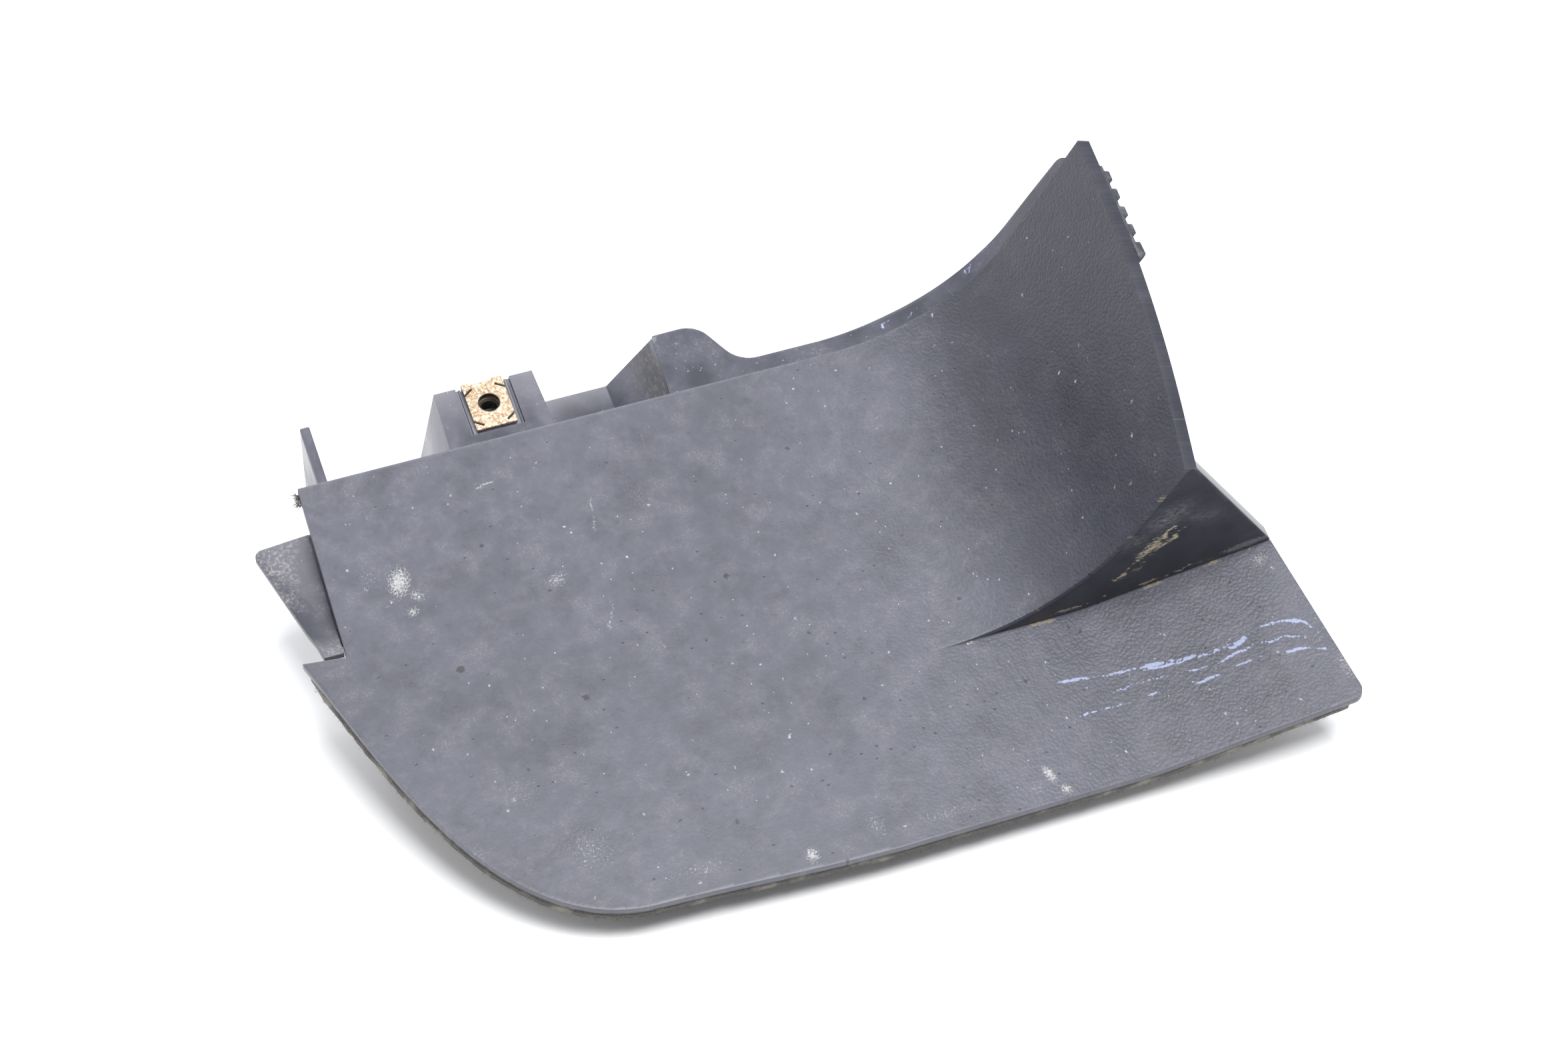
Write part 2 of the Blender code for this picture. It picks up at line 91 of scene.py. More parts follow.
# Shapes -------------------------------------------------------------------------------------

def bezier(p0, p1, p2, p3, steps):
    points = []
    for i in range(steps + 1):
        t = i / steps
        weights = ((1 - t) ** 3, 3 * t * (1 - t) ** 2, 3 * t * t * (1 - t), t ** 3)
        points.append(tuple(sum(w * p[k] for w, p in zip(weights, (p0, p1, p2, p3)))
                            for k in (0, 1)))
    return points


def filleted(corners, steps=8):
    """A closed outline from (x, y, radius) corners, each rounded by its radius."""
    points = []
    for i, (x, y, radius) in enumerate(corners):
        here = Vector((x, y))
        if radius == 0:
            points.append((x, y))
            continue
        back = (Vector(corners[i - 1][:2]) - here).normalized()
        ahead = (Vector(corners[(i + 1) % len(corners)][:2]) - here).normalized()
        half = back.angle(ahead) / 2
        centre = here + (back + ahead).normalized() * (radius / sin(half))
        start = here + back * (radius / tan(half)) - centre
        end = here + ahead * (radius / tan(half)) - centre
        turn = start.angle_signed(end)
        for k in range(steps + 1):
            spoke = start.copy()
            spoke.rotate(Matrix.Rotation(-turn * k / steps, 2))
            points.append(tuple(centre + spoke))
    return points


def resampled(outline, longest):
    """The closed outline with extra points wherever two are further apart than longest."""
    points = []
    for i, start in enumerate(outline):
        end = outline[(i + 1) % len(outline)]
        pieces = max(1, int(hypot(end[0] - start[0], end[1] - start[1]) / longest + 0.999))
        for k in range(pieces):
            t = k / pieces
            points.append((start[0] + (end[0] - start[0]) * t, start[1] + (end[1] - start[1]) * t))
    return points


def bend_x(y):
    """Where the sweep's bend starts, at height y of the face."""
    return SWEEP_X - y * tan(SWEEP_TURN)


def sweep_point(s, y, depth):
    """A point of the sweep at length s across the sheet and the face's height y."""
    across = s - bend_x(y)
    if across <= 0:
        return Vector((s, y, -depth))
    if across < BEND_LENGTH:
        angle = across / SWEEP_R
        x, z = (SWEEP_R + depth) * sin(angle), SWEEP_R - (SWEEP_R + depth) * cos(angle)
    else:
        along = across - BEND_LENGTH
        x = (SWEEP_R + depth) * sin(SWEEP_ANGLE) + along * cos(SWEEP_ANGLE)
        z = SWEEP_R - (SWEEP_R + depth) * cos(SWEEP_ANGLE) + along * sin(SWEEP_ANGLE)
    return Vector((bend_x(y) + x / cos(SWEEP_TURN), y, z))


def wing_point(x, y, depth):
    across = x - WING_X
    bend = WING_R * WING_ANGLE
    if across <= 0:
        return Vector((x, y, -depth))
    if across < bend:
        angle = across / WING_R
        return Vector((WING_X + (WING_R + depth) * sin(angle), y,
                       WING_R - (WING_R + depth) * cos(angle)))
    along = across - bend
    return Vector((WING_X + (WING_R + depth) * sin(WING_ANGLE) + along * cos(WING_ANGLE), y,
                   WING_R - (WING_R + depth) * cos(WING_ANGLE) + along * sin(WING_ANGLE)))


def face_point(s, y, depth):
    """A point of the show face; the dart's slit parts the sweep from the wing."""
    if y < DART_Y:
        return wing_point(s, y, depth)
    return sweep_point(s, y, depth)


def wing_s(x):
    """The wing's length across the sheet where it reaches x, past its bend."""
    return WING_X + WING_R * WING_ANGLE + (x - WING_X - WING_R * sin(WING_ANGLE)) / cos(WING_ANGLE)


def new_object(name, mesh, material):
    item = bpy.data.objects.new(name, mesh)
    bpy.context.scene.collection.objects.link(item)
    mesh.materials.clear()
    mesh.materials.append(material)
    return item


def soften(item, width, angle=35, segments=2):
    """Bevel an object's sharp edges, apply the bevel and shade it smooth between them."""
    bevel = item.modifiers.new("soft_edges", "BEVEL")
    bevel.width = width * MM
    bevel.segments = segments
    bevel.limit_method = "ANGLE"
    bevel.angle_limit = radians(angle)
    bevel.use_clamp_overlap = True
    graph = bpy.context.evaluated_depsgraph_get()
    mesh = bpy.data.meshes.new_from_object(item.evaluated_get(graph))
    item.modifiers.clear()
    item.data = mesh
    mesh.shade_smooth()
    mesh.set_sharp_from_angle(angle=radians(40))


def grid_points(edge, spacing):
    """A triangular grid inside the closed edge, clear of it."""
    xs, ys = [p[0] for p in edge], [p[1] for p in edge]
    grid = []
    y, row = min(ys), 0
    while y < max(ys):
        x = min(xs) + (spacing / 2 if row % 2 else 0)
        while x < max(xs):
            grid.append((x, y))
            x += spacing
        y += spacing * 0.87
        row += 1
    return clear_of(grid, edge, spacing * 0.45)


def triangulated(edge, inner):
    """(points, triangles) of the area inside the edge, whose points come first."""
    count = len(edge)
    loops = [(i, (i + 1) % count) for i in range(count)]
    points, _, faces, _, _, _ = delaunay_2d_cdt([Vector(p) for p in edge + inner], loops, [], 1,
                                                1e-5)
    return [tuple(p) for p in points], [list(f) for f in faces]


def sheet(name, outline, point, thickness, spacing, material, fine=()):
    """A closed sheet over an outline; point(s, y, depth) places it and thickness(s, y) is its own.

    Each box of fine, (low s, low y, high s, high y), gets twice as many points on the show side.
    Its flat (s, y) is kept as the UV map "sheet", in millimetres.
    """
    edge = resampled(outline, spacing * 1.4)
    inner = grid_points(edge, spacing)
    for low_s, low_y, high_s, high_y in fine:
        kept = [p for p in inner if not (low_s < p[0] < high_s and low_y < p[1] < high_y)]
        extra = [p for p in grid_points(edge, spacing / 2)
                 if low_s < p[0] < high_s and low_y < p[1] < high_y]
        inner = kept + extra
    show, show_faces = triangulated(edge, inner)
    back, back_faces = triangulated(edge, grid_points(edge, spacing * 5))
    total = len(show)
    places = [point(p[0], p[1], 0.0) for p in show]
    places += [point(p[0], p[1], thickness(p[0], p[1])) for p in back]
    count = len(edge)
    faces = show_faces + [[v + total for v in reversed(f)] for f in back_faces]
    faces += [[(i + 1) % count, i, i + total, (i + 1) % count + total] for i in range(count)]
    mesh = bpy.data.meshes.new(name)
    mesh.from_pydata([REST @ p for p in places], [], faces)
    uv = mesh.uv_layers.new(name="sheet")
    index = np.empty(len(mesh.loops), np.int32)
    mesh.loops.foreach_get("vertex_index", index)
    spots = np.array(show + back, np.float32)
    uv.data.foreach_set("uv", spots[index].ravel())
    work = bmesh.new()
    work.from_mesh(mesh)
    bmesh.ops.recalc_face_normals(work, faces=work.faces)
    work.to_mesh(mesh)
    work.free()
    return new_object(name, mesh, material)


def clear_of(grid, edge, gap):
    """The grid points that are inside the closed edge and at least gap from it."""
    p = np.array(grid)
    a = np.array(edge)
    b = np.roll(a, -1, axis=0)
    inside = np.zeros(len(p), bool)
    nearest = np.full(len(p), 1e9)
    for (x0, y0), (x1, y1) in zip(a, b):
        crosses = (y0 > p[:, 1]) != (y1 > p[:, 1])
        if y0 != y1:
            inside ^= crosses & (p[:, 0] < (x1 - x0) * (p[:, 1] - y0) / (y1 - y0) + x0)
        d = np.array((x1 - x0, y1 - y0))
        t = np.clip(((p - (x0, y0)) @ d) / max(d @ d, 1e-12), 0, 1)
        away = p - (np.array((x0, y0)) + t[:, None] * d)
        nearest = np.minimum(nearest, np.hypot(away[:, 0], away[:, 1]))
    return [tuple(q) for q in p[inside & (nearest > gap)]]


def softened_node(node, name, material, width, move=None):
    """A copy of a CAD node with its triangles merged and its edges softened."""
    mesh = nodes[node].data.copy()
    item = new_object(name, mesh, material)
    work = bmesh.new()
    work.from_mesh(mesh)
    bmesh.ops.remove_doubles(work, verts=work.verts, dist=2e-6)
    bmesh.ops.dissolve_limit(work, angle_limit=radians(0.6), verts=work.verts, edges=work.edges)
    if move:
        back = REST.inverted()
        for vertex in work.verts:
            vertex.co = REST @ move(back @ vertex.co)
    bmesh.ops.recalc_face_normals(work, faces=work.faces)
    for layer in list(work.loops.layers.uv.values()):
        work.loops.layers.uv.remove(layer)
    work.to_mesh(mesh)
    work.free()
    soften(item, width)
    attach(item, "root")
    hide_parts(node)


# Marks: wear, dirt and painted light and shade on a sheet's vertices -----------------------------

def smooth_line(points, step=0.6):
    """A smooth line through the points, as many close points."""
    p = [np.array(q, float) for q in points]
    p = [2 * p[0] - p[1]] + p + [2 * p[-1] - p[-2]]
    line = []
    for a, b, c, d in zip(p, p[1:], p[2:], p[3:]):
        steps = max(2, int(np.hypot(*(c - b)) / step))
        for t in np.linspace(0, 1, steps, endpoint=False):
            line.append(0.5 * (2 * b + (c - a) * t + (2 * a - 5 * b + 4 * c - d) * t * t
                               + (3 * b - a - 3 * c + d) * t ** 3))
    return np.array(line + [p[-2]])


class Marks:
    """Strength from 0 to 1 of each kind of mark at every vertex of one sheet."""

    def __init__(self, item, spots):
        self.item = item
        self.spots = np.array(spots, float)
        self.kinds = {}
        self.random = np.random.default_rng(7)

    def add(self, kind, strength):
        held = self.kinds.setdefault(kind, np.zeros(len(self.spots)))
        np.maximum(held, np.clip(strength, 0, 1), out=held)

    def line(self, kind, points, width, strength=1.0, wander=0.0, fade=0.0):
        """A line through the points: it shakes by about wander and its width is uneven."""
        path = smooth_line(points)
        count = len(path)
        shake = np.stack([np.convolve(self.random.normal(0, 1, count), np.ones(4) / 2, "same"),
                          np.convolve(self.random.normal(0, 1, count), np.ones(4) / 2, "same")], 1)
        path = path + shake * wander * 2.2
        weight = np.convolve(self.random.normal(0, 1, count), np.ones(9) / 3, "same")
        weight = np.clip(0.85 + 0.35 * weight, 0.25, 1.6)
        low, high = path.min(0) - width * 3, path.max(0) + width * 3
        near = np.all((self.spots > low) & (self.spots < high), axis=1)
        q = self.spots[near]
        best = np.full(len(q), 1e9)
        place = np.zeros(len(q))
        for i, c in enumerate(path):
            d = np.hypot(q[:, 0] - c[0], q[:, 1] - c[1])
            closer = d < best
            best[closer] = d[closer]
            place[closer] = i / len(path)
        near_weight = weight[np.minimum((place * count).round().astype(int), count - 1)]
        value = strength * np.exp(-(best / (width * near_weight)) ** 2) * np.minimum(near_weight, 1)
        if fade:
            value *= np.clip(place / fade, 0, 1) * np.clip((1 - place) / fade, 0, 1)
        whole = np.zeros(len(self.spots))
        whole[near] = value
        self.add(kind, whole)

    def patch(self, kind, centre, size, turn=0.0, strength=1.0, hard=2.0):
        """An oval patch; a higher hard gives it a crisper rim."""
        d = self.spots - np.array(centre)
        c, s = cos(turn), sin(turn)
        u = (d[:, 0] * c + d[:, 1] * s) / size[0]
        v = (-d[:, 0] * s + d[:, 1] * c) / size[1]
        self.add(kind, strength * np.exp(-(u * u + v * v) ** (hard / 2)))

    def store(self, layers):
        """Write the kinds as colour layers: {layer: (kind for red, green, blue)}."""
        for layer, kinds in layers.items():
            colour = np.zeros((len(self.spots), 4), np.float32)
            colour[:, 3] = 1
            for channel, kind in enumerate(kinds):
                if kind in self.kinds:
                    colour[:, channel] = self.kinds[kind]
            attribute = self.item.data.color_attributes.new(layer, "FLOAT_COLOR", "POINT")
            attribute.data.foreach_set("color", colour.ravel())


def flat_spots(item):
    """Each vertex's place in the sheet's own (s, y)."""
    mesh = item.data
    spots = np.zeros((len(mesh.vertices), 2))
    index = np.empty(len(mesh.loops), np.int32)
    mesh.loops.foreach_get("vertex_index", index)
    uv = np.empty(len(mesh.loops) * 2, np.float32)
    mesh.uv_layers["sheet"].data.foreach_get("uv", uv)
    spots[index] = uv.reshape(-1, 2)
    return spots


# Materials ----------------------------------------------------------------------------------

class Nodes:
    """A short way to write a material's nodes."""

    def __init__(self, name):
        self.material = bpy.data.materials.new(name)
        self.material.use_nodes = True
        self.tree = self.material.node_tree
        self.shader = self.tree.nodes["Principled BSDF"]

    def node(self, kind, settings=None, **inputs):
        item = self.tree.nodes.new(kind)
        for key, value in (settings or {}).items():
            setattr(item, key, value)
        for key, value in inputs.items():
            self.put(item.inputs[key.replace("_", " ")], value)
        return item

    def put(self, socket, value):
        if isinstance(value, bpy.types.NodeSocket):
            self.tree.links.new(value, socket)
        else:
            socket.default_value = value

    def math(self, operation, a, b=0.0, c=0.0, clamp=False):
        item = self.node("ShaderNodeMath", {"operation": operation, "use_clamp": clamp})
        for socket, value in zip(item.inputs, (a, b, c)):
            self.put(socket, value)
        return item.outputs[0]

    def scaled(self, vector, scale):
        item = self.node("ShaderNodeMapping", Vector=vector)
        item.inputs["Scale"].default_value = scale
        return item.outputs[0]

    def noise(self, vector, scale, detail=4.0, rough=0.55, distortion=0.0):
        item = self.node("ShaderNodeTexNoise", Vector=vector, Scale=scale, Detail=detail,
                         Roughness=rough, Distortion=distortion)
        return item.outputs["Fac"]

    def cells(self, vector, scale, feature="F1", random=1.0):
        item = self.node("ShaderNodeTexVoronoi", {"feature": feature}, Vector=vector, Scale=scale,
                         Randomness=random)
        return item.outputs["Distance"]

    def ramp(self, value, low, high):
        """0 below low to 1 above high."""
        item = self.node("ShaderNodeMapRange", {"interpolation_type": "SMOOTHSTEP"}, Value=value)
        item.inputs["From Min"].default_value = low
        item.inputs["From Max"].default_value = high
        return item.outputs[0]

    def broken(self, mark, grit):
        """A painted mark broken up by noise: whole where it is strong, specks where it is weak."""
        edge = self.math("ADD", grit, self.math("MULTIPLY", self.math("SUBTRACT", mark, 0.75), 0.36))
        return self.math("MULTIPLY", self.ramp(edge, 0.46, 0.57), self.ramp(mark, 0.02, 0.25))

    def bore(self, place, low, high):
        """1 within low of the screw's axis to 0 beyond high."""
        away = self.node("ShaderNodeVectorMath", {"operation": "DISTANCE"})
        self.put(away.inputs[0], self.scaled(place, (1, 1, 0)))
        away.inputs[1].default_value = (NUT_X, NUT_HOLE_Y, 0)
        return self.math("SUBTRACT", 1.0, self.ramp(away.outputs["Value"], low, high))

    def mix(self, factor, a, b):
        item = self.node("ShaderNodeMix", {"data_type": "RGBA"})
        self.put(item.inputs[0], factor)
        self.put(item.inputs[6], a)
        self.put(item.inputs[7], b)
        return item.outputs[2]

    def marks(self, layer):
        item = self.node("ShaderNodeAttribute", {"attribute_name": layer})
        parts = self.node("ShaderNodeSeparateColor", Color=item.outputs["Color"])
        return parts.outputs[:]

    def place(self):
        """Coordinates in millimetres in the face's own frame."""
        where = self.node("ShaderNodeTexCoord").outputs["Object"]
        item = self.node("ShaderNodeMapping", {"vector_type": "TEXTURE"}, Vector=where)
        item.inputs["Location"].default_value = PLACE
        item.inputs["Rotation"].default_value = (TILT, 0, 0)
        item.inputs["Scale"].default_value = (MM, MM, MM)
        return item.outputs[0]

    def flat(self):
        return self.node("ShaderNodeUVMap", {"uv_map": "sheet"}).outputs[0]

    def bump(self, height, distance, strength=1.0, normal=None):
        item = self.node("ShaderNodeBump", Height=height, Strength=strength, Distance=distance)
        if normal:
            self.put(item.inputs["Normal"], normal)
        return item.outputs[0]

    def finish(self, colour, roughness, normal=None, **constants):
        self.put(self.shader.inputs["Base Color"], colour)
        self.put(self.shader.inputs["Roughness"], roughness)
        if normal:
            self.put(self.shader.inputs["Normal"], normal)
        for key, value in constants.items():
            self.shader.inputs[key.replace("_", " ")].default_value = value
        return self.material


def grey(r, g=None, b=None):
    return (r, r if g is None else g, r if b is None else b, 1.0)


PLASTIC = grey(0.074, 0.077, 0.103)
PLASTIC_DARK = grey(0.036, 0.038, 0.052)
DUST = grey(0.42, 0.39, 0.34)
CHALK = grey(0.60, 0.60, 0.60)
MUD = grey(0.30, 0.25, 0.18)
SOOT_AND_SHADE = grey(0.018, 0.018, 0.022)
STAIN = grey(0.36, 0.41, 0.60)
RUST = grey(0.36, 0.12, 0.03)


def grained_plastic():
    """The show face: pebble grain, a pale haze that carries painted light and shade, painted shade on the
    sweep, pits, scratches and dried water lines.
    """
    m = Nodes("grained_plastic_worn")
    flat = m.flat()
    stain, dust, dark = m.marks("marks_a")[:3]
    mud, rust, worn = m.marks("marks_b")[:3]
    haze_and_painted_light, smooth, sweep_shade = m.marks("marks_c")[:3]
    broad = m.noise(flat, 0.018, 5, 0.6)
    cloudy = m.noise(flat, 0.09, 9, 0.78)
    fine = m.noise(flat, 1.6, 4, 0.7)
    streak = m.noise(m.scaled(flat, (0.5, 0.05, 1)), 1.0, 5, 0.6)
    tone = m.math("ADD", m.math("MULTIPLY", m.ramp(broad, 0.35, 0.65), 0.5),
                  m.math("MULTIPLY", m.ramp(cloudy, 0.35, 0.65), 0.5))
    colour = m.mix(tone, PLASTIC_DARK, PLASTIC)
    # A pale haze, partly dust and partly painted light: full on the flat and the wing, thinned over the
    # sweep as painted shade
    haze = m.math("MULTIPLY", haze_and_painted_light, m.math("ADD", 0.55, m.math("MULTIPLY", fine, 0.5)))
    colour = m.mix(m.math("MULTIPLY", haze, 0.36), colour, grey(0.21, 0.213, 0.25))
    dusty = m.math("MULTIPLY", m.ramp(cloudy, 0.49, 0.66), m.ramp(fine, 0.47, 0.62))
    colour = m.mix(m.math("MULTIPLY", dusty, 0.20), colour, DUST)
    grime = m.math("MULTIPLY", m.ramp(m.noise(flat, 0.06, 7, 0.75), 0.50, 0.60), m.ramp(fine, 0.4, 0.6))
    colour = m.mix(m.math("MULTIPLY", grime, 0.30), colour, SOOT_AND_SHADE)
    colour = m.mix(m.math("MULTIPLY", m.ramp(streak, 0.64, 0.80), 0.10), colour, DUST)
    # Painted shade: the sweep painted darker where it turns away from the light
    colour = m.mix(m.math("MULTIPLY", sweep_shade, 0.55), colour, grey(0.024, 0.025, 0.034))
    # Specks of lint and dust, and small dark pits
    speck = m.cells(flat, 0.28)
    on = m.math("GREATER_THAN", m.noise(flat, 0.13, 2, 0.5), 0.50)
    speck = m.math("MULTIPLY", m.math("SUBTRACT", 1.0, m.ramp(speck, 0.03, 0.065)), on)
    colour = m.mix(m.math("MULTIPLY", speck, 0.75), colour, CHALK)
    shifted = m.node("ShaderNodeVectorMath", {"operation": "ADD"})
    m.put(shifted.inputs[0], flat)
    shifted.inputs[1].default_value = (37.0, 81.0, 5.0)
    pit = m.cells(shifted.outputs[0], 0.17)
    pit = m.math("SUBTRACT", 1.0, m.ramp(pit, 0.05, 0.09))
    colour = m.mix(m.math("MULTIPLY", pit, 0.7), colour, SOOT_AND_SHADE)
    # Marks of each kind, broken up by the fine noise
    rough = m.noise(flat, 1.5, 6, 0.8)
    broken = m.broken(m.math("MULTIPLY", dust, 1.15), rough)
    colour = m.mix(m.math("MULTIPLY", broken, 0.6), colour, CHALK)
    line = m.broken(m.math("MULTIPLY", stain, 1.95), m.noise(flat, 2.0, 6, 0.85))
    colour = m.mix(m.math("MULTIPLY", line, 0.72), colour, STAIN)
    dirty = m.broken(m.math("MULTIPLY", mud, 1.3), rough)
    colour = m.mix(m.math("MULTIPLY", dirty, 0.85), colour, MUD)
    colour = m.mix(m.math("MULTIPLY", m.broken(m.math("MULTIPLY", dark, 1.35), rough), 0.75), colour, SOOT_AND_SHADE)
    colour = m.mix(m.math("MULTIPLY", m.broken(rust, rough), 0.8), colour, RUST)
    colour = m.mix(m.math("MULTIPLY", m.broken(worn, rough), 0.3), colour, grey(0.30, 0.30, 0.33))
    # Pebble grain, worn smoother where the face has been rubbed
    pebble = m.cells(flat, 1.2, "SMOOTH_F1")
    deep = m.math("MULTIPLY", m.ramp(pebble, 0.15, 0.75), m.math("SUBTRACT", 1.0, smooth))
    fibre = m.math("MULTIPLY", fine, 0.12)
    height = m.math("ADD", m.math("MULTIPLY", deep, -1.0), fibre)
    height = m.math("ADD", height, m.math("MULTIPLY", broken, 0.25))
    height = m.math("ADD", height, m.math("MULTIPLY", line, 0.35))
    height = m.math("SUBTRACT", height, m.math("MULTIPLY", pit, 0.8))
    normal = m.bump(height, 0.00016, 0.6)
    rough_value = m.math("ADD", 0.46, m.math("MULTIPLY", m.ramp(cloudy, 0.3, 0.7), 0.10))
    rough_value = m.math("ADD", rough_value, m.math("MULTIPLY", m.math("MAXIMUM", broken, dirty), 0.3))
    rough_value = m.math("SUBTRACT", rough_value, m.math("MULTIPLY", smooth, 0.10))
    return m.finish(colour, rough_value, normal, IOR=1.5)


def smooth_plastic(name, shine=0.36, dirt=0.35, cover=0.0, marked=False):
    """The moulding's ungrained walls: satin, with faint flow lines, dust and lighter convex edges, and
    painted shade in the screw's bore and on the ramp.
    """
    m = Nodes(name)
    place = m.place()
    broad = m.noise(place, 0.05, 5, 0.6)
    fine = m.noise(place, 1.1, 5, 0.7)
    flow = m.noise(m.scaled(place, (0.15, 1.0, 0.15)), 0.5, 4, 0.5)
    colour = m.mix(m.ramp(broad, 0.3, 0.7), PLASTIC_DARK, PLASTIC)
    dusty = m.math("MULTIPLY", m.ramp(broad, 0.45 - cover, 0.7 - cover),
                   m.ramp(fine, 0.5 - cover / 2, 0.72 - cover / 2))
    colour = m.mix(m.math("MULTIPLY", dusty, dirt), colour, DUST)
    speck = m.cells(place, 0.35)
    speck = m.math("SUBTRACT", 1.0, m.ramp(speck, 0.03, 0.08))
    colour = m.mix(m.math("MULTIPLY", speck, 0.5), colour, CHALK)
    # Convex edges painted lighter
    edge = m.node("ShaderNodeNewGeometry").outputs["Pointiness"]
    colour = m.mix(m.math("MULTIPLY", m.ramp(edge, 0.52, 0.6), 0.35), colour, grey(0.30, 0.30, 0.34))
    if marked:
        stain, dust, dark = m.marks("marks_a")[:3]
        colour = m.mix(m.math("MULTIPLY", m.broken(dust, fine), 0.5), colour, DUST)
        colour = m.mix(m.math("MULTIPLY", m.broken(stain, fine), 0.8), colour, STAIN)
        colour = m.mix(m.math("MULTIPLY", m.broken(dark, fine), 0.8), colour, SOOT_AND_SHADE)
    else:
        # Painted shade down the screw's bore, near black round its axis
        colour = m.mix(m.math("MULTIPLY", m.bore(place, 4.0, 4.6), 0.97), colour,
                       grey(0.003, 0.003, 0.003))
        # Painted shade on the ramp, darker towards the hump, then brown streaks of dirt down it
        across = m.node("ShaderNodeSeparateXYZ", Vector=place).outputs["X"]
        ramp_shade_and_streak = m.math("MULTIPLY", m.ramp(across, 110.0, 118.5),
                        m.math("SUBTRACT", 1.0, m.ramp(across, 119.6, 120.4)))
        run = m.noise(m.scaled(place, (1.0, 0.3, 1.0)), 1.3, 6, 0.75)
        colour = m.mix(m.math("MULTIPLY", ramp_shade_and_streak, 0.6), colour, SOOT_AND_SHADE)
        ramp_shade_and_streak = m.math("MULTIPLY", ramp_shade_and_streak, m.ramp(run, 0.50, 0.64))
        colour = m.mix(m.math("MULTIPLY", ramp_shade_and_streak, 0.6), colour, grey(0.20, 0.17, 0.12))
    height = m.math("ADD", m.math("MULTIPLY", flow, 0.6), m.math("MULTIPLY", fine, 0.4))
    normal = m.bump(height, 0.00008, 0.35)
    rough_value = m.math("ADD", shine, m.math("MULTIPLY", m.ramp(broad, 0.3, 0.7), 0.14))
    rough_value = m.math("ADD", rough_value, m.math("MULTIPLY", dusty, 0.25))
    return m.finish(colour, rough_value, normal, IOR=1.5)


def dart_plastic():
    """The dart wall: glossy, painted near black as painted shade in the recess, with smears of dried mud
    and a pale haze.
    """
    m = Nodes("dart_plastic_shaded_muddy")
    flat = m.flat()
    stain, dust, _ = m.marks("marks_a")[:3]
    mud, _, _ = m.marks("marks_b")[:3]
    cloudy = m.noise(flat, 0.09, 6, 0.65)
    fine = m.noise(flat, 1.3, 5, 0.75)
    drag = m.noise(m.scaled(flat, (0.35, 0.9, 1)), 1.4, 5, 0.7, 0.8)
    # Base colour painted near black: painted shade on a wall of the same plastic as the face
    colour = m.mix(m.ramp(cloudy, 0.3, 0.7), grey(0.014, 0.015, 0.021), grey(0.028, 0.030, 0.040))
    haze = m.math("MULTIPLY", stain, m.ramp(drag, 0.35, 0.75))
    colour = m.mix(m.math("MULTIPLY", haze, 0.75), colour, grey(0.30, 0.31, 0.32))
    powder = m.broken(dust, fine)
    colour = m.mix(m.math("MULTIPLY", powder, 0.55), colour, grey(0.26, 0.26, 0.27))
    smear = m.broken(m.math("MULTIPLY", mud, 1.45), drag)
    colour = m.mix(m.math("MULTIPLY", smear, 0.9), colour, grey(0.40, 0.34, 0.25))
    height = m.math("ADD", m.math("MULTIPLY", smear, 0.8), m.math("MULTIPLY", fine, 0.25))
    normal = m.bump(height, 0.00015, 0.5)
    rough_value = m.math("ADD", 0.30, m.math("MULTIPLY", m.math("MAXIMUM", smear, powder), 0.5))
    return m.finish(colour, rough_value, normal, IOR=1.5)


def felt():
    """Needled felt, with dust caught in it."""
    m = Nodes("felt_dusty")
    place = m.place()
    fibre = m.noise(m.scaled(place, (1.0, 0.35, 1.0)), 2.6, 6, 0.8, 1.5)
    cross = m.noise(m.scaled(place, (0.35, 1.0, 1.0)), 2.6, 6, 0.8, 1.5)
    cloudy = m.noise(place, 0.12, 5, 0.6)
    weave = m.math("MAXIMUM", fibre, cross)
    colour = m.mix(m.ramp(weave, 0.45, 0.72), grey(0.030, 0.028, 0.026), grey(0.20, 0.18, 0.15))
    colour = m.mix(m.math("MULTIPLY", m.ramp(cloudy, 0.45, 0.7), 0.7), colour, grey(0.36, 0.33, 0.27))
    normal = m.bump(weave, 0.0006, 0.9)
    return m.finish(colour, 0.95, normal, Sheen_Weight=0.25, Sheen_Roughness=0.5)


def rubber():
    m = Nodes("rubber_dusty")
    place = m.place()
    cloudy = m.noise(place, 0.3, 5, 0.65)
    fine = m.noise(place, 2.5, 4, 0.7)
    colour = m.mix(m.ramp(cloudy, 0.4, 0.75), grey(0.045, 0.047, 0.058), grey(0.13, 0.13, 0.145))
    normal = m.bump(fine, 0.00015, 0.4)
    return m.finish(colour, m.math("ADD", 0.62, m.math("MULTIPLY", fine, 0.2)), normal)


